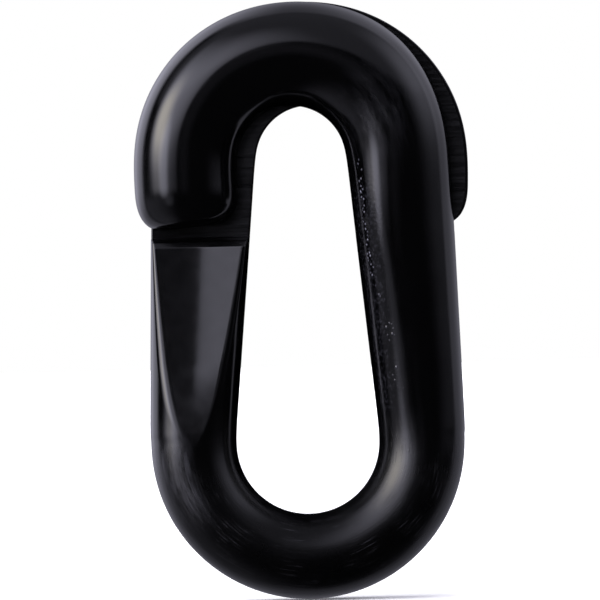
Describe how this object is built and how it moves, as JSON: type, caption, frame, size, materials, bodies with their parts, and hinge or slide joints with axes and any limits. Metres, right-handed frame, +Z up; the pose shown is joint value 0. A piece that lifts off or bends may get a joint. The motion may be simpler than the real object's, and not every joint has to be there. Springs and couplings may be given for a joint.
{
  "type": "chain connecting link",
  "caption": "Split connecting link for plastic chain: a long round-bar eye whose crown divides at mid-thickness into two lapped half-round hooks that spring apart to let a chain link in.",
  "frame": {"origin": "centre of the whole link's box: midway between bow and crown, at mid-thickness, where the two hooks lap", "axes": "+Z runs up the link from the bow to the crown, +X across its width to the right as seen from the front, +Y through its thickness from the front (-Y) to the back"},
  "size_m": [0.0312, 0.0098, 0.0558],
  "materials": {
    "black_plastic": "glossy black moulding; the lapped flats and ramps are satin, with fine cross lines on the flats"
  },
  "bodies": {
    "bow": {"bow": "black_plastic", "left_leg": "black_plastic", "right_leg": "black_plastic"},
    "front_hook": {"front_shoulder": "black_plastic", "front_hook": "black_plastic"},
    "back_hook": {"back_shoulder": "black_plastic", "back_hook": "black_plastic"}
  },
  "joints": [
    {"name": "front_hook_flex", "type": "hinge", "parent": "bow", "child": "front_hook", "pos_m": [0.0142, -0.00015, 0.0061], "axis": [0, 0, 1], "range_deg": [0, 18], "stiffness_Nm_per_rad": 2},
    {"name": "back_hook_flex", "type": "hinge", "parent": "bow", "child": "back_hook", "pos_m": [-0.0142, 0.00015, 0.0061], "axis": [0, 0, 1], "range_deg": [0, 18], "stiffness_Nm_per_rad": 2}
  ]
}
